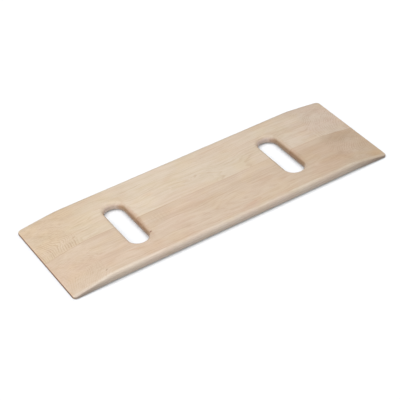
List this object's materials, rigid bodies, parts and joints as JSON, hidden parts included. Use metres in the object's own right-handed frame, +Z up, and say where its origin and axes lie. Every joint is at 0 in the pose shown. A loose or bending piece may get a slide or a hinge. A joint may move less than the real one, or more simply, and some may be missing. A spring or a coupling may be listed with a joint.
{
  "type": "transfer board",
  "caption": "Flat maple transfer board of edge-glued staves, tapered thin at both ends, with rounded edges and a hand slot near each end.",
  "frame": {"origin": "centre of the board's underside, on the surface that the board lies on", "axes": "+X along the board's length, +Y across it towards the back long edge, +Z up out of the sliding face"},
  "size_m": [0.6096, 0.2032, 0.0159],
  "materials": {
    "maple_pale": "clear satin lacquer over sanded pale hard maple",
    "maple_warm": "clear satin lacquer over sanded hard maple, slightly pinker than its neighbour",
    "wood_glue": "cured wood glue, scraped flush and lacquered over"
  },
  "bodies": {
    "root": {"back_stave": "maple_pale", "front_stave": "maple_warm", "glue_line_left": "wood_glue", "glue_line_middle": "wood_glue", "glue_line_right": "wood_glue"}
  },
  "joints": []
}
